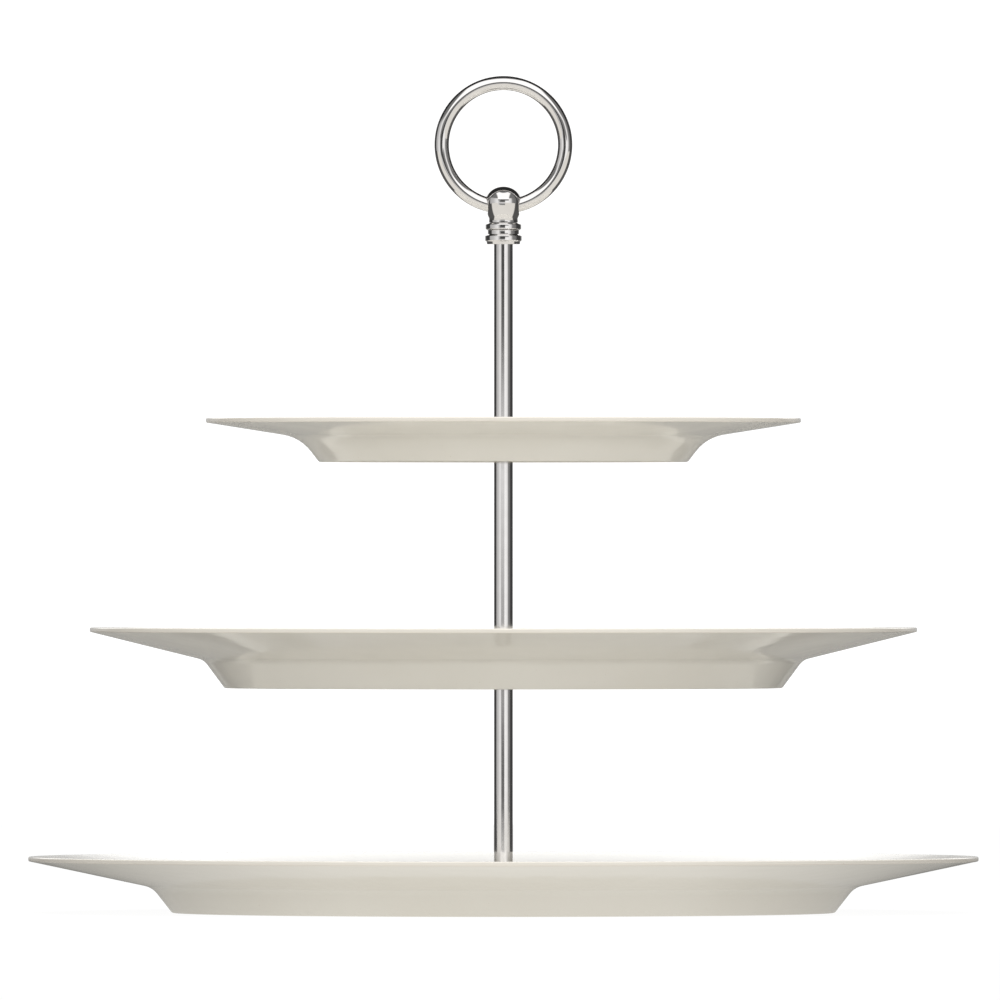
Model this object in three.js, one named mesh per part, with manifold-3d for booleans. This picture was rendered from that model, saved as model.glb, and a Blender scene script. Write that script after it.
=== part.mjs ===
// Three-tier cake stand: three glazed plates clamped one above another on a screwed chrome spindle,
// with a ball finial and a ring handle on top. Millimetres, +Z up. The origin is the centre of the
// plane that the lower plate's foot stands on, and the ring handle lies in the XZ plane.
import * as THREE from "three";
import { mergeVertices } from "three/addons/utils/BufferGeometryUtils.js";
import Module from "manifold-3d";

const wasm = await Module();
wasm.setup();

// ---- driving dimensions ------------------------------------------------------------------------

// Each plate: rim is the outer radius; foot is the radius where the wall's slope meets the ground;
// slopes are in degrees above the horizontal; bend rounds the corner between wall and rim; recess is
// the height of the foot ring and floor the thickness of the well's floor.
const LOWER_PLATE = {
  rim: 152.5, foot: 106.35, height: 18.1, rimSlope: 12, wallSlope: 52, bend: 7, recess: 4, floor: 4,
};
const MIDDLE_PLATE = {
  rim: 132.8, foot: 89.5, height: 19.6, rimSlope: 13.9, wallSlope: 53.5, bend: 5, recess: 4, floor: 4,
};
const TOP_PLATE = {
  rim: 95.5, foot: 59.2, height: 14.15, rimSlope: 9, wallSlope: 52.5, bend: 14, recess: 3.5, floor: 3.5,
};
const RIM_EDGE = 1.5; // thickness of every plate at its lip
const LIP_ROUND = 0.7; // radius of the lip's two edges
const RIM_ROOT = 3.1; // thickness where the rim meets the wall
const PLATE_HOLE = 4; // radius of the hole drilled through each plate

const ROD_RADIUS = 3.05;
const ROD_LENGTH = 62.6; // all three rods are alike
const ROD_CHAMFER = 0.3;
const STUD_RADIUS = 2; // M4 thread, 0.7 mm pitch
const SOCKET_RADIUS = 2.3;
const SOCKET_DEPTH = 8.5;
const FIXED_THREAD = 8; // length of a stud locked in the rod above it
const FREE_THREAD = 7; // length of a stud that unscrews, ten turns of thread

const SEAT_GAP = 0.05; // between stacked pieces
const WASHER = { radius: 10, thickness: 1 }; // steel, under the upper plates
const GASKET = { radius: 9.5, thickness: 1 }; // silicone, under the upper plates
const SLEEVE = { radius: 9.5, thickness: 1, spigot: 3.7, spigotDepth: 2.8 }; // silicone, over a plate
const ROSETTE = { radius: 11, edge: 0.8, height: 2.2, boss: 4.6, shoulder: 5.8, shoulderHeight: 1.4, round: 3 };
const BASE_WASHER = { radius: 10, thickness: 0.8 };
const BASE_GASKET = { radius: 9.5, thickness: 0.8 };
const SCREW_HEAD = { radius: 5, height: 1.7, round: 0.9, slotWidth: 1.1, slotLength: 6, slotDepth: 0.9 };

const RING_RADIUS = 19.82; // to the middle of the ring's wire
const RING_WIRE = 2.33; // radius of the wire
const RING_SLIT = 0.4; // the closed butt joint, hidden in the ball's eye

const COLLAR_HEIGHT = 6.9;
const COLLAR_OVER_ROD = 3.05; // how much of the rod's end stands in the collar
const COLLAR_BORE = 3.35;

// The ball is an egg: heights are from its seat on the collar, and drop is how far the lower half
// would reach below the equator if the neck did not cut it off.
const BALL = { radius: 5.8, equator: 6.95, rise: 4.9, drop: 9.2, neck: 4.6, foot: 4.7 };
const EYE_HEIGHT = 5.6; // the eye's axis above the ball's seat
const EYE_CLEARANCE = 0.12;

// The bent wire bows inside the straight eye by this much either side of the eye's axis.
const EYE_MOUTH = 5.6;
const WIRE_BOW = (RING_RADIUS - Math.sqrt(RING_RADIUS ** 2 - EYE_MOUTH ** 2)) / 2;

// ---- materials ---------------------------------------------------------------------------------

const glaze = new THREE.MeshStandardMaterial({ color: 0xdcd8cc, roughness: 0.15, metalness: 0 });
const chrome = new THREE.MeshStandardMaterial({ color: 0xd8d8da, roughness: 0.05, metalness: 1 });
const steel = new THREE.MeshStandardMaterial({ color: 0xb4b4b0, roughness: 0.35, metalness: 1 });
const silicone = new THREE.MeshStandardMaterial({ color: 0xe8e8e4, roughness: 0.6, metalness: 0 });

// ---- outlines and solids -----------------------------------------------------------------------

const DEGREE = Math.PI / 180;
const ARC_STEP = 32 * DEGREE; // at most this much turn between two points of a rounded corner
const PLATE_SEGMENTS = 48;
const SMALL_SEGMENTS = 24;
const STUD_SEGMENTS = 16;

// The points of a polyline whose corners [r, z, radius] are rounded where a radius is given.
function rounded(corners, closed) {
  const points = [];
  corners.forEach(([r, z, radius], i) => {
    const corner = new THREE.Vector2(r, z);
    const isEnd = !closed && (i === 0 || i === corners.length - 1);
    if (!radius || isEnd) {
      points.push(corner);
      return;
    }
    const before = corners[(i + corners.length - 1) % corners.length];
    const after = corners[(i + 1) % corners.length];
    const toBefore = new THREE.Vector2(before[0], before[1]).sub(corner).normalize();
    const toAfter = new THREE.Vector2(after[0], after[1]).sub(corner).normalize();
    const inside = Math.acos(toBefore.dot(toAfter));
    const turn = Math.PI - inside;
    const tangent = radius * Math.tan(turn / 2);
    const bisector = toBefore.clone().add(toAfter).normalize();
    const centre = corner.clone().addScaledVector(bisector, radius / Math.sin(inside / 2));
    const start = corner.clone().addScaledVector(toBefore, tangent).sub(centre);
    const steps = Math.max(1, Math.ceil(turn / ARC_STEP));
    const direction = Math.sign(toAfter.cross(toBefore));
    for (let k = 0; k <= steps; k++) {
      const arm = start.clone().rotateAround(new THREE.Vector2(), (direction * turn * k) / steps);
      points.push(centre.clone().add(arm));
    }
  });
  if (closed) points.push(points[0].clone());
  return points;
}

// A solid turned about +Z from points of (radius, height).
function turned(points, segments = SMALL_SEGMENTS) {
  return new THREE.LatheGeometry(points, segments).rotateX(Math.PI / 2);
}

// A flat ring between two heights.
function disc(innerRadius, outerRadius, bottom, top) {
  const corners = [
    [innerRadius, bottom],
    [outerRadius, bottom],
    [outerRadius, top],
    [innerRadius, top],
  ];
  return turned(rounded(corners, true));
}

function toManifold(geometry) {
  const bare = geometry.clone();
  bare.deleteAttribute("normal");
  bare.deleteAttribute("uv");
  const merged = mergeVertices(bare, 1e-4);
  return new wasm.Manifold(
    new wasm.Mesh({
      numProp: 3,
      vertProperties: merged.attributes.position.array,
      triVerts: new Uint32Array(merged.index.array),
    }),
  );
}

function toGeometry(manifold) {
  const mesh = manifold.getMesh();
  const geometry = new THREE.BufferGeometry();
  geometry.setAttribute("position", new THREE.BufferAttribute(new Float32Array(mesh.vertProperties), 3));
  geometry.setIndex(new THREE.BufferAttribute(new Uint32Array(mesh.triVerts), 1));
  geometry.computeVertexNormals();
  return geometry;
}

function cut(geometry, ...tools) {
  return toGeometry(tools.reduce((solid, tool) => solid.subtract(toManifold(tool)), toManifold(geometry)));
}

function add(parent, name, geometry, material, z = 0) {
  const mesh = new THREE.Mesh(geometry, material);
  mesh.name = name;
  mesh.position.z = z;
  parent.add(mesh);
  return mesh;
}

// ---- plates ------------------------------------------------------------------------------------

const FOOT_LAND = 3.2; // width of the flat ring that touches the table
const FOOT_FLANK = 2.4; // how far the foot ring's inner side leans in
const FOOT_ROUNDS = { recess: 1.2, inner: 0.4, outer: 1.1 };
const WELL_EDGE = 1; // how far inside the outer bend the well's edge lies
const WELL_LEAN = 3.4; // how far the well's wall runs in on its way down
const WELL_ROUND = 3; // at the edge of the well's floor
const WELL_BEND = 0.7; // the rounding of the well's edge, as a share of the outer bend's

// Where the straight wall and the straight underside of the rim would cross.
function outerBend(plate) {
  const wall = Math.tan(plate.wallSlope * DEGREE);
  const rim = Math.tan(plate.rimSlope * DEGREE);
  const lipUnderside = plate.height - RIM_EDGE;
  const r = (lipUnderside - plate.rim * rim + plate.foot * wall) / (wall - rim);
  return { r, z: (r - plate.foot) * wall };
}

function plateGeometry(plate) {
  const bend = outerBend(plate);
  const floorTop = plate.recess + plate.floor;
  const wellEdge = { r: bend.r - WELL_EDGE, z: bend.z + RIM_ROOT };
  const landInner = plate.foot - FOOT_LAND;
  const corners = [
    [PLATE_HOLE, plate.recess],
    [landInner - FOOT_FLANK, plate.recess, FOOT_ROUNDS.recess],
    [landInner, 0, FOOT_ROUNDS.inner],
    [plate.foot, 0, FOOT_ROUNDS.outer],
    [bend.r, bend.z, plate.bend],
    [plate.rim, plate.height - RIM_EDGE, LIP_ROUND],
    [plate.rim, plate.height, LIP_ROUND],
    [wellEdge.r, wellEdge.z, plate.bend * WELL_BEND],
    [wellEdge.r - WELL_LEAN, floorTop, WELL_ROUND],
    [PLATE_HOLE, floorTop],
  ];
  return turned(rounded(corners, true), PLATE_SEGMENTS);
}

// ---- spindle -----------------------------------------------------------------------------------

// A round bar with a threaded socket in each end, standing on z = 0.
function rodGeometry() {
  const corners = [
    [0, SOCKET_DEPTH],
    [SOCKET_RADIUS, SOCKET_DEPTH],
    [SOCKET_RADIUS, 0],
    [ROD_RADIUS - ROD_CHAMFER, 0],
    [ROD_RADIUS, ROD_CHAMFER],
    [ROD_RADIUS, ROD_LENGTH - ROD_CHAMFER],
    [ROD_RADIUS - ROD_CHAMFER, ROD_LENGTH],
    [SOCKET_RADIUS, ROD_LENGTH],
    [SOCKET_RADIUS, ROD_LENGTH - SOCKET_DEPTH],
    [0, ROD_LENGTH - SOCKET_DEPTH],
  ];
  return turned(rounded(corners, false));
}

const THREAD_CHAMFER = 0.5;

// A headless stud from z = 0 up.
function studGeometry(length) {
  const corners = [
    [0, 0],
    [STUD_RADIUS - THREAD_CHAMFER, 0],
    [STUD_RADIUS, THREAD_CHAMFER],
    [STUD_RADIUS, length - THREAD_CHAMFER],
    [STUD_RADIUS - THREAD_CHAMFER, length],
    [0, length],
  ];
  return turned(rounded(corners, false), STUD_SEGMENTS);
}

// A pan-head screw with a cross recess, its head below z = 0 and its shank above.
function baseScrewGeometry(shankLength) {
  const head = SCREW_HEAD;
  const corners = [
    [0, -head.height],
    [head.radius, -head.height, head.round],
    [head.radius, 0],
    [STUD_RADIUS, 0],
    [STUD_RADIUS, shankLength - THREAD_CHAMFER],
    [STUD_RADIUS - THREAD_CHAMFER, shankLength],
    [0, shankLength],
  ];
  const slotTop = -head.height + head.slotDepth;
  const slot = new THREE.BoxGeometry(head.slotLength, head.slotWidth, 2 * head.slotDepth);
  slot.translate(0, 0, slotTop - head.slotDepth);
  const crossSlot = slot.clone().rotateZ(Math.PI / 2);
  return cut(turned(rounded(corners, false)), slot, crossSlot);
}

// A dished washer that spreads the rod's load, standing on z = 0.
function rosetteGeometry() {
  const corners = [
    [SOCKET_RADIUS, 0],
    [ROSETTE.radius, 0],
    [ROSETTE.radius, ROSETTE.edge],
    [ROSETTE.shoulder, ROSETTE.shoulderHeight, ROSETTE.round],
    [ROSETTE.boss, ROSETTE.height],
    [SOCKET_RADIUS, ROSETTE.height],
  ];
  return turned(rounded(corners, true));
}

// A flat washer with a spigot that centres the plate's hole on the stud. Its flange stands on z = 0.
function sleeveGasketGeometry() {
  const corners = [
    [SOCKET_RADIUS, -SLEEVE.spigotDepth],
    [SLEEVE.spigot, -SLEEVE.spigotDepth],
    [SLEEVE.spigot, 0],
    [SLEEVE.radius, 0],
    [SLEEVE.radius, SLEEVE.thickness],
    [SOCKET_RADIUS, SLEEVE.thickness],
  ];
  return turned(rounded(corners, true));
}

// ---- finial and ring ---------------------------------------------------------------------------

// The double-beaded collar, standing on z = 0, counterbored for the end of the rod.
function collarGeometry() {
  const counterbore = COLLAR_OVER_ROD + SEAT_GAP;
  const corners = [
    [COLLAR_BORE, 0],
    [5.3, 0],
    [5.45, 0.9],
    [5.9, 1.2],
    [5.9, 2.8],
    [5.05, 3.2],
    [5.05, 4.5],
    [5.75, 4.9],
    [5.75, 6.4],
    [5.1, COLLAR_HEIGHT],
    [SOCKET_RADIUS, COLLAR_HEIGHT],
    [SOCKET_RADIUS, counterbore],
    [COLLAR_BORE, counterbore],
  ];
  return turned(rounded(corners, true));
}

// Points on the egg's outline, from one angle above the equator to another.
function eggArc(fromAngle, toAngle, steps) {
  const points = [];
  for (let i = 0; i <= steps; i++) {
    const angle = fromAngle + ((toAngle - fromAngle) * i) / steps;
    const halfHeight = angle < 0 ? BALL.drop : BALL.rise;
    const r = BALL.radius * Math.cos(angle);
    points.push(new THREE.Vector2(r, BALL.equator + halfHeight * Math.sin(angle)));
  }
  return points;
}

const NEARLY_TOP = 80 * DEGREE; // the egg's arc stops here, and the last point is on the axis

// The ball with its neck and its threaded shank, standing on the collar at z = 0. The eye is drilled
// through it along X.
function ballGeometry() {
  const shank = COLLAR_HEIGHT - COLLAR_OVER_ROD + FREE_THREAD;
  const neckAngle = -Math.acos(BALL.neck / BALL.radius);
  const outline = [
    new THREE.Vector2(0, -shank),
    new THREE.Vector2(STUD_RADIUS - THREAD_CHAMFER, -shank),
    new THREE.Vector2(STUD_RADIUS, -shank + THREAD_CHAMFER),
    new THREE.Vector2(STUD_RADIUS, 0),
    new THREE.Vector2(BALL.foot, 0),
    ...eggArc(neckAngle, 0, 4),
    ...eggArc(0, NEARLY_TOP, 6).slice(1),
    new THREE.Vector2(0, BALL.equator + BALL.rise),
  ];
  const eye = new THREE.CylinderGeometry(eyeRadius(), eyeRadius(), 4 * BALL.radius, SMALL_SEGMENTS);
  eye.rotateZ(Math.PI / 2).translate(0, 0, EYE_HEIGHT);
  return cut(turned(outline), eye);
}

function eyeRadius() {
  return RING_WIRE + WIRE_BOW + EYE_CLEARANCE;
}

// A circle in the XZ plane that starts and ends at the slit at its foot.
class RingCurve extends THREE.Curve {
  getPoint(t, target = new THREE.Vector3()) {
    const halfSlit = RING_SLIT / 2 / RING_RADIUS;
    const angle = -Math.PI / 2 + halfSlit + t * (2 * Math.PI - 2 * halfSlit);
    return target.set(RING_RADIUS * Math.cos(angle), 0, RING_RADIUS * Math.sin(angle));
  }
}

function ringGeometry() {
  const wire = new THREE.Shape();
  wire.absarc(0, 0, RING_WIRE, 0, 2 * Math.PI);
  return new THREE.ExtrudeGeometry(wire, {
    steps: 48,
    curveSegments: 6,
    extrudePath: new RingCurve(),
  });
}

// ---- assembly, from the table up ---------------------------------------------------------------

const stand = new THREE.Group();

// The silicone sleeve gasket and chrome rosette on a plate's floor. Returns the height a rod stands on.
function addClamp(parent, tier, plate) {
  const gasketBottom = plate.recess + plate.floor + SEAT_GAP;
  const rosetteBottom = gasketBottom + SLEEVE.thickness + SEAT_GAP;
  add(parent, `${tier}_sleeve_gasket`, sleeveGasketGeometry(), silicone, gasketBottom);
  add(parent, `${tier}_rosette`, rosetteGeometry(), chrome, rosetteBottom);
  return rosetteBottom + ROSETTE.height + SEAT_GAP;
}

// The gasket and washer under a plate's floor. Returns the height of what bears on the washer.
function addWashers(parent, prefix, plate, gasket, washer) {
  const gasketTop = plate.recess - SEAT_GAP;
  const gasketBottom = gasketTop - gasket.thickness;
  const washerTop = gasketBottom - SEAT_GAP;
  const washerBottom = washerTop - washer.thickness;
  const gasketDisc = disc(SOCKET_RADIUS, gasket.radius, gasketBottom, gasketTop);
  const washerDisc = disc(SOCKET_RADIUS, washer.radius, washerBottom, washerTop);
  add(parent, `${prefix}_gasket`, gasketDisc, silicone);
  add(parent, `${prefix}_washer`, washerDisc, steel);
  return washerBottom - SEAT_GAP;
}

// A stud from the socket of the rod below to the socket of the rod that stands on height rodBottom.
function addStud(parent, name, rodBottom, rodBelowTop) {
  const bottom = rodBelowTop - FREE_THREAD;
  add(parent, name, studGeometry(rodBottom + FIXED_THREAD - bottom), steel, bottom);
}

// Lower tier, with the screw that holds the spindle from below.
add(stand, "lower_plate", plateGeometry(LOWER_PLATE), glaze);
const screwSeat = addWashers(stand, "base", LOWER_PLATE, BASE_GASKET, BASE_WASHER);
const lowerRodBottom = addClamp(stand, "lower", LOWER_PLATE);
add(stand, "base_screw", baseScrewGeometry(lowerRodBottom + FREE_THREAD - screwSeat), steel, screwSeat);
add(stand, "lower_rod", rodGeometry(), chrome, lowerRodBottom);

// An upper tier on the rod whose top end is at height rodTop. Returns the top of the tier's own rod.
function addUpperTier(tier, plate, rodTop, rodName) {
  const group = new THREE.Group();
  stand.add(group);
  const seat = addWashers(group, `${tier}_under`, plate, GASKET, WASHER);
  group.position.z = rodTop - seat;
  add(group, `${tier}_plate`, plateGeometry(plate), glaze);
  const rodBottom = addClamp(group, tier, plate);
  addStud(group, `${tier}_stud`, rodBottom, seat);
  add(group, rodName, rodGeometry(), chrome, rodBottom);
  return group.position.z + rodBottom + ROD_LENGTH;
}

const middleRodTop = addUpperTier("middle", MIDDLE_PLATE, lowerRodBottom + ROD_LENGTH, "middle_rod");
const upperRodTop = addUpperTier("top", TOP_PLATE, middleRodTop, "upper_rod");

// Finial and ring handle.
const finial = new THREE.Group();
finial.position.z = upperRodTop - COLLAR_OVER_ROD;
stand.add(finial);
add(finial, "finial_collar", collarGeometry(), chrome);
const ballSeat = COLLAR_HEIGHT + SEAT_GAP;
add(finial, "finial_ball", ballGeometry(), chrome, ballSeat);
const ringFoot = ballSeat + EYE_HEIGHT - WIRE_BOW; // the lowest point of the wire's middle line
add(finial, "ring_handle", ringGeometry(), chrome, ringFoot + RING_RADIUS);

export default stand;
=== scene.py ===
"""Three-tier cake stand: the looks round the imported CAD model, in metres, +Z up.

Each CAD node gets a finer piece with its edges rounded: glazed plates on a bare foot ring, polished
chrome rods, beads and ring, zinc-plated threads and washers, and moulded silicone gaskets.
"""

import math

import bmesh
import bpy
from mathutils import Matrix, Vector


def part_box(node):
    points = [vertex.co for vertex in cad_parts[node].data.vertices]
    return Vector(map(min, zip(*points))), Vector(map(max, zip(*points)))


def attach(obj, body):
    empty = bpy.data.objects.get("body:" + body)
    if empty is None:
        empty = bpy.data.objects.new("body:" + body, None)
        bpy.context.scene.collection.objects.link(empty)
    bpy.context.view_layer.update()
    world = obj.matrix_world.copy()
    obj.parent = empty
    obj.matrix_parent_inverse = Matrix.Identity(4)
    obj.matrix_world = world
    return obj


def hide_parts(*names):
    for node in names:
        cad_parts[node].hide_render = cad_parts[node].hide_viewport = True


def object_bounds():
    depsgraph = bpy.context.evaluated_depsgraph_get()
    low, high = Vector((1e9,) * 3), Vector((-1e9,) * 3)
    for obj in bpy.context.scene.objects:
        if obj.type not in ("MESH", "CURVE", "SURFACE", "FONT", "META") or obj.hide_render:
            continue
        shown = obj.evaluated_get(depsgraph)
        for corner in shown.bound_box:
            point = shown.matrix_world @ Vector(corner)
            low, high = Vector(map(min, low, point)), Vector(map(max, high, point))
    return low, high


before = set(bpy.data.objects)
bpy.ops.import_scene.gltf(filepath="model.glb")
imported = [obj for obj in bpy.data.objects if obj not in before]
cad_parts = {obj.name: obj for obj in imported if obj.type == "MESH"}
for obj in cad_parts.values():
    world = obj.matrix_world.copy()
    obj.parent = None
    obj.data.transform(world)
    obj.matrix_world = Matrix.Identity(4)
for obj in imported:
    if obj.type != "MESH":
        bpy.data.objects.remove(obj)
cad_low, cad_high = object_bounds()

MM = 0.001

# ---- sizes that the frame's boxes don't give, in millimetres --------------------------------------

# Each plate's profile: foot is the radius where the wall meets the table, slopes are in degrees above
# the horizontal, and bend rounds the corner between the wall and the rim's underside. Recess is the
# hollow inside the foot ring, and floor is the plate's thickness over it.
PLATES = {
    "lower_plate": dict(height=18.1, foot=106.35, rim_slope=12, wall_slope=52, bend=7, recess=4, floor=4),
    "middle_plate": dict(height=19.6, foot=89.5, rim_slope=13.9, wall_slope=53.5, bend=5, recess=4, floor=4),
    "top_plate": dict(height=14.15, foot=59.2, rim_slope=9, wall_slope=52.5, bend=14, recess=3.5, floor=3.5),
}
PLATE_HOLE = 4
HOLE_ROUND = 0.3
RIM_EDGE = 1.5  # the height of its upright edge
LIP_ROUND = 0.45
RIM_ROOT = 3.1  # the rim's upright thickness over the bend
FOOT_LAND = 3.2  # the width that it stands on
FOOT_FLANK = 2.4  # the run of its inner flank
FOOT_ROUNDS = dict(recess=1.2, inner=0.4, outer=1.1)
# The bare band under the foot: how far it passes the land's inner edge, how far it keeps from the
# outer edge, and how high it reaches.
FOOT_BARE = dict(overlap=0.3, margin=0.4, height=0.2)
WELL_EDGE = 1  # how far inside the bend the well's side starts
WELL_LEAN = 3.4  # how far that side leans in on its way down
WELL_ROUND = 3
WELL_BEND = 0.7  # as a share of the plate's bend
PLATE_SEGMENTS = 256

SOCKET_RADIUS = 2.3  # also of the holes in the small parts
SOCKET_DEPTH = 8.5
ROD_CHAMFER = 0.3

STUD_RADIUS = 2
STUD_TIP = 1.5  # the radius of its chamfered ends
THREAD_PITCH = 0.7
THREAD_DEPTH = 0.4
RINGS_PER_TURN = 10

ROSETTE = dict(edge=0.8, height=2.2, boss=4.6, shoulder=5.8, shoulder_height=1.4)
ROSETTE_ROUNDS = dict(foot=0.12, edge=0.35, shoulder=3, boss=0.25, hole=0.1)
SLEEVE = dict(spigot=3.7, spigot_depth=2.8)
SLEEVE_ROUNDS = dict(foot=0.1, spigot=0.3, flange=0.2, top=0.35, hole=0.15)
GASKET_ROUNDS = dict(hole=0.2, edge=0.45)  # as shares of its thickness
WASHER_ROUNDS = dict(crisp=0.06, rolled=0.3)
SCREW_HEAD = dict(height=1.7, round=0.9, seat_round=0.1)
SCREW_SLOT = dict(width=1.1, length=6, depth=0.9, taper=0.75)

COLLAR = dict(bore=3.35, bore_depth=3.1, foot=5.3, flare=5.45, waist=5.05, upper_bead=5.75, top=5.1)
COLLAR_HEIGHTS = dict(flare=0.9, lower_bead=(1.2, 2.8), waist=(3.2, 4.5), upper_bead=(4.9, 6.4))
COLLAR_ROUNDS = dict(edge=0.12, flare=0.1, bead_foot=0.3, bead_top=0.45, waist=0.15)

# The ball is an egg whose lower half is cut off at the neck; heights are from its seat on the collar.
BALL = dict(radius=5.8, equator=6.95, rise=4.9, drop=9.2, neck=4.6, foot=4.7, foot_bevel=0.1)
BALL_STEPS = 48
EYE = dict(height=5.6, radius=2.854, mouth=4.9, mouth_round=1, flare=0.55)
FINIAL_SEGMENTS = 128

RING_WIRE = 2.33  # its radius
RING_SLIT = 0.4
RING_STEPS = 240
RING_SEGMENTS = 48


def main():
    bisque = bisque_material()
    chrome = chrome_material()
    steel = steel_material()
    silicone = silicone_material()

    for node, body in (("lower_plate", "base"), ("middle_plate", "middle_tier"), ("top_plate", "top_tier")):
        stand_in(make_plate(node, bisque), node, body)
    for node, body in (
        ("lower_rod", "middle_tier"),
        ("middle_rod", "top_tier"),
        ("upper_rod", "handle_rod"),
    ):
        stand_in(make_rod(node, chrome), node, body)
    for tier in ("lower", "middle", "top"):
        rosette, gasket, body = tier + "_rosette", tier + "_sleeve_gasket", tier + "_clamp"
        stand_in(make_rosette(rosette, chrome), rosette, body)
        stand_in(make_sleeve_gasket(gasket, silicone), gasket, body)
    for prefix, body in (("base", "base"), ("middle_under", "middle_tier"), ("top_under", "top_tier")):
        gasket, washer = prefix + "_gasket", prefix + "_washer"
        stand_in(make_gasket(gasket, silicone), gasket, body)
        stand_in(make_washer(washer, steel), washer, body)
    for node, body in (("middle_stud", "top_tier"), ("top_stud", "handle_rod")):
        stand_in(make_stud(node, steel), node, body)
    stand_in(make_base_screw(steel), "base_screw", "base")
    stand_in(make_collar(chrome), "finial_collar", "handle_rod")
    stand_in(make_ball(chrome), "finial_ball", "handle_rod")
    stand_in(make_ring(chrome), "ring_handle", "ring")

    make_camera()
    make_world()
    make_camera_gap()
    make_overhead_light()
    make_floor()


def stand_in(piece, node, body):
    """Puts the piece on the body in place of the CAD node, and keeps its flat faces shaded flat."""
    normals = piece.modifiers.new("flat_faces_stay_flat", "WEIGHTED_NORMAL")
    normals.keep_sharp = True
    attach(piece, body)
    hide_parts(node)


# ---- mesh helpers --------------------------------------------------------------------------------

SHARP_ANGLE = 35  # degrees between two faces from which their edge isn't shaded smooth
ARC_STEP = 8  # the most degrees that one segment of a rounded corner turns
ON_AXIS = 1e-9


def rounded(corners, closed=True):
    """The points of a polyline of (r, z) or (r, z, radius) corners, with an arc where a radius is given."""
    points = []
    count = len(corners)
    for i, (r, z, *radius) in enumerate(corners):
        corner = Vector((r, z))
        at_end = not closed and i in (0, count - 1)
        if not radius or at_end:
            points.append(corner)
            continue
        to_before = (Vector(corners[i - 1][:2]) - corner).normalized()
        to_after = (Vector(corners[(i + 1) % count][:2]) - corner).normalized()
        inside = to_before.angle(to_after)
        turn = math.pi - inside
        bisector = (to_before + to_after).normalized()
        centre = corner + bisector * (radius[0] / math.sin(inside / 2))
        start = corner + to_before * (radius[0] * math.tan(turn / 2)) - centre
        side = 1 if to_after.x * to_before.y - to_after.y * to_before.x > 0 else -1
        steps = max(2, math.ceil(math.degrees(turn) / ARC_STEP))
        for k in range(steps + 1):
            angle = side * turn * k / steps
            cos, sin = math.cos(angle), math.sin(angle)
            arm = Vector((start.x * cos - start.y * sin, start.x * sin + start.y * cos))
            points.append(centre + arm)
    return points


def ring_of(mesh, radius_at, z, segments):
    """A ring of vertices about Z at height z, whose radius may change with the share of a full turn."""
    if radius_at(0) < ON_AXIS:
        return [mesh.verts.new((0, 0, z))] * segments
    ring = []
    for k in range(segments):
        r, angle = radius_at(k / segments), 2 * math.pi * k / segments
        ring.append(mesh.verts.new((r * math.cos(angle), r * math.sin(angle), z)))
    return ring


def skin(mesh, rings, closed):
    """Joins each ring to the next, and closes the ends unless the rings run round to the first."""
    nexts = rings[1:] + rings[:1] if closed else rings[1:]
    for low, high in zip(rings, nexts):
        for k in range(len(low)):
            after = (k + 1) % len(low)
            face = list(dict.fromkeys((low[k], low[after], high[after], high[k])))
            if len(face) > 2:
                mesh.faces.new(face)
    if not closed:
        for end in (rings[0], rings[-1]):
            if end[0] is not end[1]:
                mesh.faces.new(end)
    bmesh.ops.recalc_face_normals(mesh, faces=mesh.faces)


def to_object(name, mesh, *materials):
    data = bpy.data.meshes.new(name)
    mesh.to_mesh(data)
    mesh.free()
    data.shade_smooth()
    data.set_sharp_from_angle(angle=math.radians(SHARP_ANGLE))
    for material in materials:
        data.materials.append(material)
    piece = bpy.data.objects.new(name, data)
    bpy.context.scene.collection.objects.link(piece)
    return piece


def turned(name, corners, base_z, *materials, closed=True, segments=96):
    """A solid turned about Z from corners in millimetres, with z = 0 at base_z metres."""
    mesh = bmesh.new()
    rings = []
    for point in rounded(corners, closed):
        rings.append(ring_of(mesh, lambda turn, r=point.x * MM: r, base_z + point.y * MM, segments))
    skin(mesh, rings, closed)
    return to_object(name, mesh, *materials)


def bolt(name, below, shank, above, base_z, material, segments=64):
    """A solid turned from (r, z) points below and above a shank that is threaded between two heights."""
    mesh = bmesh.new()
    rings = [ring_of(mesh, lambda turn, r=r * MM: r, base_z + z * MM, segments) for r, z in below]
    low, high = shank
    count = round((high - low) / THREAD_PITCH * RINGS_PER_TURN)
    for i in range(count + 1):
        z = low + (high - low) * i / count
        limit = STUD_RADIUS
        if not below:
            limit = min(limit, STUD_TIP + z - low)
        if not above:
            limit = min(limit, STUD_TIP + high - z)

        def radius_at(turn, z=z, limit=limit):
            wave = 0.5 + 0.5 * math.cos(2 * math.pi * (z / THREAD_PITCH - turn))
            return min(STUD_RADIUS - THREAD_DEPTH * (1 - wave), limit) * MM

        rings.append(ring_of(mesh, radius_at, base_z + z * MM, segments))
    rings += [ring_of(mesh, lambda turn, r=r * MM: r, base_z + z * MM, segments) for r, z in above]
    skin(mesh, rings, closed=False)
    return to_object(name, mesh, material)


def cut(piece, tool):
    """Cuts the tool out of the piece, and deletes the tool."""
    modifier = piece.modifiers.new("cut", "BOOLEAN")
    modifier.operation = "DIFFERENCE"
    modifier.solver = "EXACT"
    modifier.object = tool
    evaluated = piece.evaluated_get(bpy.context.evaluated_depsgraph_get())
    result = bpy.data.meshes.new_from_object(evaluated)
    piece.modifiers.clear()
    piece.data = result
    piece.data.set_sharp_from_angle(angle=math.radians(SHARP_ANGLE))
    bpy.data.objects.remove(tool)


def millimetres(node):
    """The node's lowest height in metres, and its radius along X and its height in millimetres."""
    low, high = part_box(node)
    return low.z, high.x / MM, (high.z - low.z) / MM


# ---- pieces --------------------------------------------------------------------------------------


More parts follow.
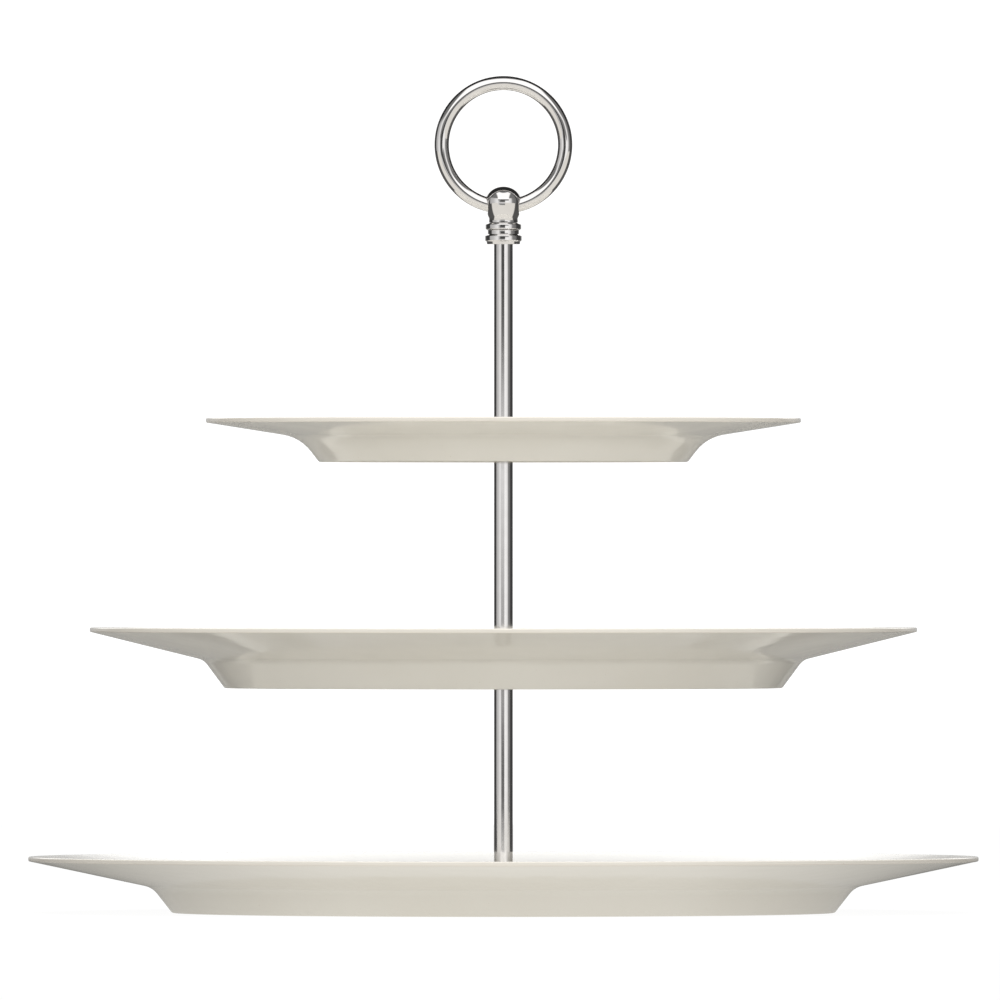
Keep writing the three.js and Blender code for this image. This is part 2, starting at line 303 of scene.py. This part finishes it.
def make_plate(node, bisque):
    """A plate turned with its well and foot ring, glazed but for the land that it stands on."""
    plate = PLATES[node]
    bottom, rim, _ = millimetres(node)
    height, recess, foot = plate["height"], plate["recess"], plate["foot"]
    wall = math.tan(math.radians(plate["wall_slope"]))
    slope = math.tan(math.radians(plate["rim_slope"]))
    bend_r = (height - RIM_EDGE - rim * slope + foot * wall) / (wall - slope)
    bend_z = (bend_r - foot) * wall
    floor_top = recess + plate["floor"]
    land_inner = foot - FOOT_LAND
    corners = [
        (PLATE_HOLE, recess, HOLE_ROUND),
        (land_inner - FOOT_FLANK, recess, FOOT_ROUNDS["recess"]),
        (land_inner, 0, FOOT_ROUNDS["inner"]),
        (foot, 0, FOOT_ROUNDS["outer"]),
        (bend_r, bend_z, plate["bend"]),
        (rim, height - RIM_EDGE, LIP_ROUND),
        (rim, height, LIP_ROUND),
        (bend_r - WELL_EDGE, bend_z + RIM_ROOT, plate["bend"] * WELL_BEND),
        (bend_r - WELL_EDGE - WELL_LEAN, floor_top, WELL_ROUND),
        (PLATE_HOLE, floor_top, HOLE_ROUND),
    ]
    glaze = glaze_material(node + "_glaze", rim * MM)
    piece = turned(node + "_glazed", corners, bottom, glaze, bisque, segments=PLATE_SEGMENTS)
    bare_inner = (land_inner - FOOT_BARE["overlap"]) * MM
    bare_outer = (foot - FOOT_BARE["margin"]) * MM
    bare_top = bottom + FOOT_BARE["height"] * MM
    for face in piece.data.polygons:
        r = math.hypot(face.center.x, face.center.y)
        if bare_inner < r < bare_outer and face.center.z < bare_top:
            face.material_index = 1
    return piece


def make_rod(node, chrome):
    """A rod with a plain socket in each end and a small chamfer round it."""
    bottom, radius, length = millimetres(node)
    corners = [
        (0, SOCKET_DEPTH),
        (SOCKET_RADIUS, SOCKET_DEPTH),
        (SOCKET_RADIUS, 0),
        (radius, 0, ROD_CHAMFER),
        (radius, length, ROD_CHAMFER),
        (SOCKET_RADIUS, length),
        (SOCKET_RADIUS, length - SOCKET_DEPTH),
        (0, length - SOCKET_DEPTH),
    ]
    return turned(node + "_bar", corners, bottom, chrome, closed=False)


def make_rosette(node, chrome):
    """A dished washer pressed from sheet, with a boss that the rod stands on."""
    bottom, radius, _ = millimetres(node)
    corners = [
        (SOCKET_RADIUS, 0),
        (radius, 0, ROSETTE_ROUNDS["foot"]),
        (radius, ROSETTE["edge"], ROSETTE_ROUNDS["edge"]),
        (ROSETTE["shoulder"], ROSETTE["shoulder_height"], ROSETTE_ROUNDS["shoulder"]),
        (ROSETTE["boss"], ROSETTE["height"], ROSETTE_ROUNDS["boss"]),
        (SOCKET_RADIUS, ROSETTE["height"], ROSETTE_ROUNDS["hole"]),
    ]
    return turned(node + "_pressed", corners, bottom, chrome)


def make_sleeve_gasket(node, silicone):
    """A moulded washer with a spigot that fills the plate's hole."""
    bottom, radius, top = millimetres(node)
    spigot, flange = SLEEVE["spigot"], SLEEVE["spigot_depth"]
    corners = [
        (SOCKET_RADIUS, 0, SLEEVE_ROUNDS["foot"]),
        (spigot, 0, SLEEVE_ROUNDS["spigot"]),
        (spigot, flange, SLEEVE_ROUNDS["flange"]),
        (radius, flange, SLEEVE_ROUNDS["flange"]),
        (radius, top, SLEEVE_ROUNDS["top"]),
        (SOCKET_RADIUS, top, SLEEVE_ROUNDS["hole"]),
    ]
    return turned(node + "_moulded", corners, bottom, silicone)


def make_gasket(node, silicone):
    """A moulded flat washer with full round edges."""
    bottom, radius, top = millimetres(node)
    inner_round, outer_round = GASKET_ROUNDS["hole"] * top, GASKET_ROUNDS["edge"] * top
    corners = [
        (SOCKET_RADIUS, 0, inner_round),
        (radius, 0, outer_round),
        (radius, top, outer_round),
        (SOCKET_RADIUS, top, inner_round),
    ]
    return turned(node + "_moulded", corners, bottom, silicone)


def make_washer(node, steel):
    """A stamped washer: the upper edges are rolled over by the punch, and the lower ones are crisp."""
    bottom, radius, top = millimetres(node)
    crisp, rolled = WASHER_ROUNDS["crisp"], WASHER_ROUNDS["rolled"]
    corners = [
        (SOCKET_RADIUS, 0, crisp),
        (radius, 0, crisp),
        (radius, top, rolled),
        (SOCKET_RADIUS, top, rolled),
    ]
    return turned(node + "_stamped", corners, bottom, steel)


def make_stud(node, steel):
    """A stud that is threaded from end to end."""
    bottom, _, length = millimetres(node)
    return bolt(node + "_threaded", [], (0, length), [], bottom, steel)


def make_base_screw(steel):
    """A pan-head screw with a tapered cross recess in its head, which faces down."""
    bottom, radius, length = millimetres("base_screw")
    head = SCREW_HEAD["height"]
    corners = [
        (0, 0),
        (radius, 0, SCREW_HEAD["round"]),
        (radius, head, SCREW_HEAD["seat_round"]),
        (STUD_RADIUS, head),
    ]
    below = [(point.x, point.y) for point in rounded(corners, closed=False)]
    piece = bolt("base_screw_pan_head", below[:-1], (head, length), [], bottom, steel)
    for size_x, size_y in (("length", "width"), ("width", "length")):
        mesh = bmesh.new()
        bmesh.ops.create_cube(mesh, size=1)
        for vertex in mesh.verts:
            at_tip = vertex.co.z > 0
            taper = SCREW_SLOT["taper"] if at_tip else 1
            x = vertex.co.x * SCREW_SLOT[size_x] * taper
            y = vertex.co.y * SCREW_SLOT[size_y] * taper
            depth = SCREW_SLOT["depth"] if at_tip else -SCREW_SLOT["depth"]
            vertex.co = (x * MM, y * MM, bottom + depth * MM)
        cut(piece, to_object("slot", mesh))
    return piece


def make_collar(chrome):
    """The double-beaded collar, bored for the end of the rod and for the ball's shank."""
    bottom, bead, height = millimetres("finial_collar")
    bead_foot, bead_top = COLLAR_HEIGHTS["lower_bead"]
    waist_foot, waist_top = COLLAR_HEIGHTS["waist"]
    upper_foot, upper_top = COLLAR_HEIGHTS["upper_bead"]
    rounds = COLLAR_ROUNDS
    corners = [
        (COLLAR["bore"], 0),
        (COLLAR["foot"], 0, rounds["edge"]),
        (COLLAR["flare"], COLLAR_HEIGHTS["flare"], rounds["flare"]),
        (bead, bead_foot, rounds["bead_foot"]),
        (bead, bead_top, rounds["bead_top"]),
        (COLLAR["waist"], waist_foot, rounds["waist"]),
        (COLLAR["waist"], waist_top, rounds["waist"]),
        (COLLAR["upper_bead"], upper_foot, rounds["bead_foot"]),
        (COLLAR["upper_bead"], upper_top, rounds["bead_top"]),
        (COLLAR["top"], height, rounds["edge"]),
        (SOCKET_RADIUS, height),
        (SOCKET_RADIUS, COLLAR["bore_depth"]),
        (COLLAR["bore"], COLLAR["bore_depth"]),
    ]
    return turned("finial_collar_turned", corners, bottom, chrome, segments=FINIAL_SEGMENTS)


def make_ball(chrome):
    """The egg-shaped ball on its neck and threaded shank, with an eye along X for the ring."""
    bottom, _, height = millimetres("finial_ball")
    shank = height - BALL["equator"] - BALL["rise"]
    neck_angle = -math.degrees(math.acos(BALL["neck"] / BALL["radius"]))
    foot, bevel = BALL["foot"], BALL["foot_bevel"]
    outline = [(STUD_RADIUS, shank), (foot - bevel, shank), (foot, shank + bevel)]
    for i in range(BALL_STEPS + 1):
        angle = math.radians(neck_angle + (90 - neck_angle) * i / BALL_STEPS)
        reach = BALL["drop"] if angle < 0 else BALL["rise"]
        z = shank + BALL["equator"] + reach * math.sin(angle)
        outline.append((BALL["radius"] * math.cos(angle), z))
    shank_span = (0, shank - bevel)
    piece = bolt("finial_ball_polished", [], shank_span, outline, bottom, chrome, FINIAL_SEGMENTS)

    outside = 2 * BALL["radius"]
    flared = EYE["radius"] + EYE["flare"] * (outside - EYE["mouth"])
    corners = [
        (0, -outside),
        (flared, -outside),
        (EYE["radius"], -EYE["mouth"], EYE["mouth_round"]),
        (EYE["radius"], EYE["mouth"], EYE["mouth_round"]),
        (flared, outside),
        (0, outside),
    ]
    eye = turned("eye", corners, 0, chrome, closed=False)
    centre = bottom + (shank + EYE["height"]) * MM
    for vertex in eye.data.vertices:
        x, y, z = vertex.co
        vertex.co = (z, y, centre - x)
    cut(piece, eye)
    return piece


def make_ring(chrome):
    """A round wire bent to a circle in the XZ plane, its two cut ends meeting inside the ball's eye."""
    low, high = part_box("ring_handle")
    centre, radius = (low.z + high.z) / 2, (high.x - low.x) / 2 - RING_WIRE * MM
    half_slit = RING_SLIT * MM / 2 / radius
    mesh = bmesh.new()
    rings = []
    for i in range(RING_STEPS + 1):
        along = -math.pi / 2 + half_slit + (2 * math.pi - 2 * half_slit) * i / RING_STEPS
        ring = []
        for k in range(RING_SEGMENTS):
            around = 2 * math.pi * k / RING_SEGMENTS
            r = radius + RING_WIRE * MM * math.cos(around)
            y = RING_WIRE * MM * math.sin(around)
            ring.append(mesh.verts.new((r * math.cos(along), y, centre + r * math.sin(along))))
        rings.append(ring)
    skin(mesh, rings, closed=False)
    return to_object("ring_handle_bent_wire", mesh, chrome)


# ---- materials -----------------------------------------------------------------------------------

GLAZE_THICK = (0.80, 0.776, 0.716)
GLAZE_PALE = (0.83, 0.81, 0.756)
GLAZE_LIP = (0.80, 0.76, 0.69)
GLAZE_SPECK = (0.55, 0.47, 0.36)
GLAZE_ROUGHNESS = (0.06, 0.11)
GLAZE_IOR = 1.5
GLAZE_WAVES = 0.06  # millimetres
LIP_FADE = (-0.6, 0.3)  # millimetres from the rim's radius
LIP_RIPPLE = 0.8  # millimetres that the fade wanders
SPECK_EDGE = (0.77, 0.82)  # noise values
SPECK_STRENGTH = 0.35
BISQUE_TONES = ((0.60, 0.55, 0.47), (0.72, 0.67, 0.58))
CHROME_TONES = ((0.68, 0.665, 0.655), (0.72, 0.705, 0.695))
ZINC_TONES = ((0.5, 0.5, 0.48), (0.66, 0.65, 0.62))
SILICONE_TONES = ((0.76, 0.76, 0.73), (0.82, 0.82, 0.8))
NOISE_LOW = 0.3  # nearly all the values of a noise texture are between these two
NOISE_HIGH = 0.7


def new_material(name):
    material = bpy.data.materials.new(name)
    material.use_nodes = True
    nodes = material.node_tree.nodes
    return material, nodes, material.node_tree.links, nodes["Principled BSDF"]


def noise(nodes, links, scale, detail=2.0, stretch=None):
    """A noise texture in object coordinates, in metres. Returns its value socket."""
    place = nodes.new("ShaderNodeTexCoord")
    texture = nodes.new("ShaderNodeTexNoise")
    texture.inputs["Scale"].default_value = scale
    texture.inputs["Detail"].default_value = detail
    source = place.outputs["Object"]
    if stretch:
        mapping = nodes.new("ShaderNodeMapping")
        mapping.inputs["Scale"].default_value = stretch
        links.new(source, mapping.inputs["Vector"])
        source = mapping.outputs["Vector"]
    links.new(source, texture.inputs["Vector"])
    return texture.outputs["Fac"]


def spread(nodes, links, source, low, high):
    """Maps a noise value to the range from low to high."""
    mapped = nodes.new("ShaderNodeMapRange")
    mapped.inputs["From Min"].default_value = NOISE_LOW
    mapped.inputs["From Max"].default_value = NOISE_HIGH
    mapped.inputs["To Min"].default_value = low
    mapped.inputs["To Max"].default_value = high
    links.new(source, mapped.inputs["Value"])
    return mapped.outputs["Result"]


def blend_colours(nodes, links, source, *colours):
    """Mixes two colours, each an (r, g, b) or another colour socket."""
    mix = nodes.new("ShaderNodeMix")
    mix.data_type = "RGBA"
    for name, colour in zip("AB", colours):
        socket = next(s for s in mix.inputs if s.name == name and s.type == "RGBA")
        if isinstance(colour, tuple):
            socket.default_value = (*colour, 1)
        else:
            links.new(colour, socket)
    links.new(source, mix.inputs["Factor"])
    return next(s for s in mix.outputs if s.type == "RGBA")


def add_bump(nodes, links, shader, source, distance):
    bump = nodes.new("ShaderNodeBump")
    bump.inputs["Strength"].default_value = 1
    bump.inputs["Distance"].default_value = distance
    links.new(source, bump.inputs["Height"])
    links.new(bump.outputs["Normal"], shader.inputs["Normal"])


def glaze_material(name, rim):
    """Cream glaze, clouded where it pooled, with fine specks, and thinner over the lip at radius rim."""
    material, nodes, links, shader = new_material(name)
    maths = NodeMaths(material.node_tree)
    cloud = spread(nodes, links, noise(nodes, links, 22, 3), 0, 1)
    pooled = blend_colours(nodes, links, cloud, GLAZE_THICK, GLAZE_PALE)

    place = nodes.new("ShaderNodeTexCoord")
    flat = nodes.new("ShaderNodeVectorMath")
    flat.operation = "MULTIPLY"
    flat.inputs[1].default_value = (1, 1, 0)
    links.new(place.outputs["Object"], flat.inputs[0])
    radius = nodes.new("ShaderNodeVectorMath")
    radius.operation = "LENGTH"
    links.new(flat.outputs["Vector"], radius.inputs[0])
    wander = noise(nodes, links, 140, 2)
    ripple = maths.math("MULTIPLY_ADD", wander, LIP_RIPPLE * MM, radius.outputs["Value"])
    thin = maths.ramp(ripple, rim + LIP_FADE[0] * MM, rim + LIP_FADE[1] * MM)
    lipped = blend_colours(nodes, links, thin, pooled, GLAZE_LIP)

    specks = maths.ramp(noise(nodes, links, 1500, 1), *SPECK_EDGE, 0, SPECK_STRENGTH)
    speckled = blend_colours(nodes, links, specks, lipped, GLAZE_SPECK)
    links.new(speckled, shader.inputs["Base Color"])
    rough = spread(nodes, links, noise(nodes, links, 60), *GLAZE_ROUGHNESS)
    links.new(rough, shader.inputs["Roughness"])
    shader.inputs["IOR"].default_value = GLAZE_IOR
    add_bump(nodes, links, shader, noise(nodes, links, 90, 1), GLAZE_WAVES * MM)
    return material


def bisque_material():
    """The bare, grainy ceramic under the foot rings."""
    material, nodes, links, shader = new_material("bisque")
    grain = spread(nodes, links, noise(nodes, links, 900, 4), 0, 1)
    colour = blend_colours(nodes, links, grain, *BISQUE_TONES)
    links.new(colour, shader.inputs["Base Color"])
    shader.inputs["Roughness"].default_value = 0.85
    add_bump(nodes, links, shader, grain, 0.05 * MM)
    return material


def chrome_material():
    """Polished chrome plating with a faint haze."""
    material, nodes, links, shader = new_material("chrome")
    shader.inputs["Metallic"].default_value = 1
    haze = spread(nodes, links, noise(nodes, links, 300, 3), 0, 1)
    colour = blend_colours(nodes, links, haze, *CHROME_TONES)
    links.new(colour, shader.inputs["Base Color"])
    rough = spread(nodes, links, noise(nodes, links, 220, 4), 0.03, 0.07)
    links.new(rough, shader.inputs["Roughness"])
    return material


def steel_material():
    """Zinc-plated steel, brushed round its axis."""
    material, nodes, links, shader = new_material("zinc_steel")
    shader.inputs["Metallic"].default_value = 1
    brushed = noise(nodes, links, 900, 3, stretch=(1, 1, 0.1))
    tone = spread(nodes, links, brushed, 0, 1)
    colour = blend_colours(nodes, links, tone, *ZINC_TONES)
    links.new(colour, shader.inputs["Base Color"])
    links.new(spread(nodes, links, brushed, 0.25, 0.45), shader.inputs["Roughness"])
    add_bump(nodes, links, shader, brushed, 0.01 * MM)
    return material


def silicone_material():
    """Milky silicone that lets a little light in."""
    material, nodes, links, shader = new_material("silicone")
    cloud = spread(nodes, links, noise(nodes, links, 400, 2), 0, 1)
    colour = blend_colours(nodes, links, cloud, *SILICONE_TONES)
    links.new(colour, shader.inputs["Base Color"])
    shader.inputs["Roughness"].default_value = 0.5
    shader.inputs["Subsurface Weight"].default_value = 0.3
    shader.inputs["Subsurface Radius"].default_value = (2 * MM, 2 * MM, 1.8 * MM)
    add_bump(nodes, links, shader, noise(nodes, links, 2500, 2), 0.01 * MM)
    return material


# ---- stage ---------------------------------------------------------------------------------------

CAMERA_DISTANCE = 9.5
CAMERA_HEIGHT = 0.118
CAMERA_AIM = Vector((-0.0011, 0, 0.1325))
FRAME_WIDTH = 0.321  # at the spindle
SENSOR = 36
CLIP_END = 60


def make_camera():
    """A long lens, nearly level with the middle of the stand."""
    data = bpy.data.cameras.new("camera")
    data.sensor_width = SENSOR
    data.lens = SENSOR * CAMERA_DISTANCE / FRAME_WIDTH
    data.clip_end = CLIP_END
    camera = bpy.data.objects.new("camera", data)
    camera.location = (CAMERA_AIM.x, -CAMERA_DISTANCE, CAMERA_HEIGHT)
    camera.rotation_euler = (CAMERA_AIM - camera.location).to_track_quat("-Z", "Y").to_euler()
    bpy.context.scene.collection.objects.link(camera)
    bpy.context.scene.camera = camera


class NodeMaths:
    """Short names for the maths nodes of one node tree."""

    def __init__(self, tree):
        self.nodes, self.links = tree.nodes, tree.links

    def set(self, socket, value):
        if isinstance(value, (int, float)):
            socket.default_value = value
        else:
            self.links.new(value, socket)

    def math(self, operation, *values):
        node = self.nodes.new("ShaderNodeMath")
        node.operation = operation
        for socket, value in zip(node.inputs, values):
            self.set(socket, value)
        return node.outputs["Value"]

    def choose(self, switch, off, on):
        """off where the switch is zero, and on where it is one."""
        node = self.nodes.new("ShaderNodeMix")
        node.data_type = "FLOAT"
        self.set(node.inputs["Factor"], switch)
        self.set(node.inputs["A"], off)
        self.set(node.inputs["B"], on)
        return node.outputs["Result"]

    def colour_ramp(self, value, stops):
        """Grey levels between 0 and 1 at (position, level) stops."""
        node = self.nodes.new("ShaderNodeValToRGB")
        elements = node.color_ramp.elements
        while len(elements) < len(stops):
            elements.new(0.5)
        for element, (position, level) in zip(elements, stops):
            element.position = position
            element.color = (level, level, level, 1)
        self.set(node.inputs["Fac"], value)
        return node.outputs["Color"]

    def ramp(self, value, start, end, low=0.0, high=1.0):
        """low before start and high after end, with a smooth change between."""
        node = self.nodes.new("ShaderNodeMapRange")
        node.interpolation_type = "SMOOTHSTEP"
        node.inputs["From Min"].default_value = start
        node.inputs["From Max"].default_value = end
        node.inputs["To Min"].default_value = low
        node.inputs["To Max"].default_value = high
        self.set(node.inputs["Value"], value)
        return node.outputs["Result"]


# What reflections show round the horizon: degrees from the camera's direction to +X, and brightness.
HORIZON = (
    (-180, 0.03),
    (-98, 0.03),
    (-93, 0.52),
    (-64, 0.7),
    (-50, 0.95),
    (-24, 1.2),
    (0, 1.0),
    (24, 1.25),
    (46, 1.05),
    (54, 0.75),
    (60, 0.28),
    (88, 0.16),
    (95, 0.03),
    (180, 0.03),
)
HORIZON_SCALE = 1.3  # a colour ramp holds no level above one
# The parts of a direction from the stand run from -1 to 1: toward is to the camera, z is up, and aside
# is to either side. Each pair is where a soft edge starts and ends.
HORIZON_TOP = (0.3, 0.42)  # z
IN_FRONT = (0.0, 0.2)  # toward
MIDDLE = (0.5, 0.62)  # aside
TENT = dict(level=1.05, lean=0.2, toward=(-0.55, 0.5))
BACK = dict(level=1.4, lean=-0.33, toward=(-1.0, -0.93))
SKY = dict(level=0.2, toward=(-0.05, 0.1))
SOFTBOX = dict(level=1.25, foot=(0.3, 0.36), top=(0.93, 0.97))
DARK_BAR = dict(dims=0.8, foot=(0.03, 0.06), top=(0.2, 0.26))
BACKDROP = dict(level=1.55, foot_level=0.4, foot=(0.1, 0.26), toward=(-0.87, -0.74))
DARKEST_LEVEL = 0.03
BACKGROUND_LEVEL = 1.2


def make_world():
    """White to the camera, and other surroundings for diffuse light than for reflections."""
    scene = bpy.context.scene
    scene.view_settings.view_transform = "Standard"
    world = bpy.data.worlds.new("studio")
    scene.world = world
    world.use_nodes = True
    tree = world.node_tree
    background = tree.nodes["Background"]
    background.inputs["Color"].default_value = (1, 1, 1, 1)
    maths = NodeMaths(tree)
    place = tree.nodes.new("ShaderNodeTexCoord")
    split = tree.nodes.new("ShaderNodeSeparateXYZ")
    tree.links.new(place.outputs["Generated"], split.inputs["Vector"])
    x, z = split.outputs["X"], split.outputs["Z"]
    toward = maths.math("MULTIPLY", split.outputs["Y"], -1)

    path = tree.nodes.new("ShaderNodeLightPath")
    lighting = lighting_level(maths, toward, z)
    mirrored = mirrored_level(maths, x, toward, z)
    level = maths.choose(path.outputs["Is Glossy Ray"], lighting, mirrored)
    level = maths.math("ADD", level, DARKEST_LEVEL)
    level = maths.choose(path.outputs["Is Camera Ray"], level, BACKGROUND_LEVEL)
    tree.links.new(level, background.inputs["Strength"])


def lighting_level(maths, toward, z):
    """For diffuse light: a tent that is open at the back, and a bright patch low behind the stand."""
    tilted = maths.math("MULTIPLY_ADD", z, TENT["lean"], toward)
    tent = maths.ramp(tilted, *TENT["toward"], 0, TENT["level"])
    tilted = maths.math("MULTIPLY_ADD", z, BACK["lean"], toward)
    back = maths.ramp(tilted, *BACK["toward"], BACK["level"], 0)
    return maths.math("ADD", tent, back)


def mirrored_level(maths, x, toward, z):
    """For reflections: panels round the horizon, sky, a softbox over a dark bar, and a backdrop."""
    turn = maths.math("ARCTAN2", x, toward)
    share = maths.math("MULTIPLY_ADD", turn, 1 / (2 * math.pi), 0.5)
    stops = [(degrees / 360 + 0.5, level / HORIZON_SCALE) for degrees, level in HORIZON]
    horizon = maths.math("MULTIPLY", maths.colour_ramp(share, stops), HORIZON_SCALE)
    horizon = maths.math("MULTIPLY", horizon, maths.ramp(z, *HORIZON_TOP, 1, 0))
    sky = maths.ramp(toward, *SKY["toward"], 0, SKY["level"])
    sky = maths.math("MULTIPLY", maths.ramp(z, *HORIZON_TOP), sky)

    aside = maths.math("ABSOLUTE", x)
    in_front = maths.ramp(toward, *IN_FRONT)
    middle = maths.ramp(aside, *MIDDLE, 1, 0)
    softbox = panel(maths, z, SOFTBOX, middle, in_front)
    bar = panel(maths, z, DARK_BAR, middle, in_front)
    horizon = maths.math("MULTIPLY", horizon, maths.math("MULTIPLY_ADD", bar, -DARK_BAR["dims"], 1))

    backdrop = maths.ramp(z, *BACKDROP["foot"], BACKDROP["foot_level"], BACKDROP["level"])
    backdrop = maths.math("MULTIPLY", backdrop, maths.ramp(toward, *BACKDROP["toward"], 1, 0))
    mirrored = maths.math("ADD", maths.math("ADD", horizon, sky), backdrop)
    return maths.math("MULTIPLY_ADD", softbox, SOFTBOX["level"], mirrored)


def panel(maths, z, edges, middle, in_front):
    """One inside a panel in front of the stand, and zero outside it."""
    inside = maths.math("MULTIPLY", maths.ramp(z, *edges["foot"]), maths.ramp(z, *edges["top"], 1, 0))
    return maths.math("MULTIPLY", maths.math("MULTIPLY", inside, middle), in_front)


# The gap in the tent that the camera looks through: metres above the table, and brightness.
GAP_LEVELS = (
    (0.0, 0.7),
    (0.012, 0.62),
    (0.022, 0.2),
    (0.033, 0.15),
    (0.045, 0.2),
    (0.062, 0.47),
    (0.091, 0.49),
    (0.113, 0.7),
    (0.144, 0.95),
    (0.171, 0.65),
    (0.189, 0.27),
    (0.207, 0.1),
    (0.33, 0.06),
)
GAP_DISTANCE = 1.2
GAP_BOTTOM = 0.005
GAP_LEFT = -0.8
GAP_RIGHT = 0.22
GAP_SIDE_LEVEL = 0.9  # at its left end, and gone at a third of that distance


def make_camera_gap():
    """A card seen only in reflections. Its brightness changes with height."""
    height = GAP_LEVELS[-1][0]
    mesh = bmesh.new()
    corners = [(GAP_LEFT, GAP_BOTTOM), (GAP_RIGHT, GAP_BOTTOM), (GAP_RIGHT, height), (GAP_LEFT, height)]
    mesh.faces.new([mesh.verts.new((x, -GAP_DISTANCE, z)) for x, z in corners])
    material = bpy.data.materials.new("camera_gap")
    material.use_nodes = True
    nodes, links = material.node_tree.nodes, material.node_tree.links
    nodes.clear()
    maths = NodeMaths(material.node_tree)
    place = nodes.new("ShaderNodeTexCoord")
    split = nodes.new("ShaderNodeSeparateXYZ")
    links.new(place.outputs["Object"], split.inputs["Vector"])
    share = maths.math("DIVIDE", split.outputs["Z"], height)
    level = maths.colour_ramp(share, [(z / height, level) for z, level in GAP_LEVELS])
    soft_side = maths.ramp(split.outputs["X"], GAP_LEFT, GAP_LEFT / 3, GAP_SIDE_LEVEL, 0)
    emission = nodes.new("ShaderNodeEmission")
    links.new(maths.math("MAXIMUM", level, soft_side), emission.inputs["Strength"])
    output = nodes.new("ShaderNodeOutputMaterial")
    links.new(emission.outputs["Emission"], output.inputs["Surface"])
    card = to_object("camera_gap", mesh, material)
    card.visible_camera = False
    card.visible_diffuse = False
    card.visible_shadow = False


OVERHEAD_PLACE = (0, -0.13, 1.6)
OVERHEAD_AIM = Vector((0, 0, 0.1))
OVERHEAD_SIZE = 0.5
OVERHEAD_WATTS = 12


def make_overhead_light():
    """A wide soft light over the stand. It isn't seen by the camera or in reflections."""
    data = bpy.data.lights.new("overhead", "AREA")
    data.shape = "SQUARE"
    data.size = OVERHEAD_SIZE
    data.energy = OVERHEAD_WATTS
    light = bpy.data.objects.new("overhead", data)
    light.location = OVERHEAD_PLACE
    light.rotation_euler = (OVERHEAD_AIM - light.location).to_track_quat("-Z", "Y").to_euler()
    light.visible_camera = False
    light.visible_glossy = False
    bpy.context.scene.collection.objects.link(light)


FLOOR_RADIUS = 3
FLOOR_SEGMENTS = 96
FLOOR_DROP = 0.02  # millimetres below the stand
FLOOR_GREY = (0.08, 0.08, 0.08, 1)
WARM_WHITE = (1.0, 0.975, 0.915)
WHITE = (1.0, 1.0, 1.0)

# How brightly the floor glows, by metres from the spindle: each pair is where a change starts and ends. The
# glow is painted light and shade: brightest in front, as if a lamp lit it there, and dimmer behind the stand
# and beside it as painted shade.
FRONT_GLOW = 0.95
NEAR_GLOW = 0.74
FRONT_CHANGE = (-0.32, -0.13)
BACK_GLOW = 0.05  # the back's and the sides' glows are shares of the middle's
BACK_CHANGE = (-0.1, 0.28)
SIDE_GLOW = 0.6
SIDE_CHANGE = (0.04, 0.16)
OUTER_GLOW = 0.95
OUTER_CHANGE = (0.2, 0.35)
CAMERA_GLOW = 0.95

# The floor's glow in reflections, away from the stand, by degrees from the camera's direction.
MIRRORED_CHANGE = (0.16, 0.2)  # metres from the spindle
MIRRORED_GLOW = 0.92
MIRRORED_DARK = 0.03
MIRRORED_FRONT = (76, 86)
BEHIND_GLOW = 0.25
MIRRORED_BEHIND = (145, 155)


def make_floor():
    """A pale glowing table, with other levels for the camera, diffuse light and reflections."""
    mesh = bmesh.new()
    bmesh.ops.create_circle(mesh, cap_ends=True, radius=FLOOR_RADIUS, segments=FLOOR_SEGMENTS)
    material, nodes, links, shader = new_material("pale_floor")
    shader.inputs["Base Color"].default_value = FLOOR_GREY
    shader.inputs["Roughness"].default_value = 0.9
    shader.inputs["Specular IOR Level"].default_value = 0
    maths = NodeMaths(material.node_tree)
    place = nodes.new("ShaderNodeTexCoord")
    split = nodes.new("ShaderNodeSeparateXYZ")
    links.new(place.outputs["Object"], split.inputs["Vector"])
    x, y = split.outputs["X"], split.outputs["Y"]
    aside = maths.math("ABSOLUTE", x)

    # The glow that lights the stand is painted light and shade: lit in front, and painted shade behind and
    # beside the stand.
    front = maths.ramp(y, *FRONT_CHANGE, FRONT_GLOW, NEAR_GLOW)
    lighting = maths.math("MULTIPLY", front, maths.ramp(y, *BACK_CHANGE, 1, BACK_GLOW))
    lighting = maths.math("MULTIPLY", lighting, maths.ramp(aside, *SIDE_CHANGE, 1, SIDE_GLOW))
    outer = maths.ramp(aside, *OUTER_CHANGE, 1, OUTER_GLOW / SIDE_GLOW)
    lighting = maths.math("MULTIPLY", lighting, outer)

    far = maths.math("MAXIMUM", aside, maths.math("ABSOLUTE", y))
    angle = maths.math("ARCTAN2", aside, maths.math("MULTIPLY", y, -1))
    front_sector = maths.ramp(angle, *map(math.radians, MIRRORED_FRONT), MIRRORED_GLOW, MIRRORED_DARK)
    back_sector = maths.ramp(angle, *map(math.radians, MIRRORED_BEHIND), 0, BEHIND_GLOW)
    mirrored = maths.math("ADD", front_sector, back_sector)
    mirrored = maths.choose(maths.ramp(far, *MIRRORED_CHANGE), lighting, mirrored)

    path = nodes.new("ShaderNodeLightPath")
    glow = maths.choose(path.outputs["Is Glossy Ray"], lighting, mirrored)
    glow = maths.choose(path.outputs["Is Camera Ray"], glow, CAMERA_GLOW)
    tint = blend_colours(nodes, links, path.outputs["Is Camera Ray"], WARM_WHITE, WHITE)
    links.new(tint, shader.inputs["Emission Color"])
    links.new(glow, shader.inputs["Emission Strength"])
    floor = to_object("floor", mesh, material)
    floor.location.z = cad_low.z - FLOOR_DROP * MM


main()
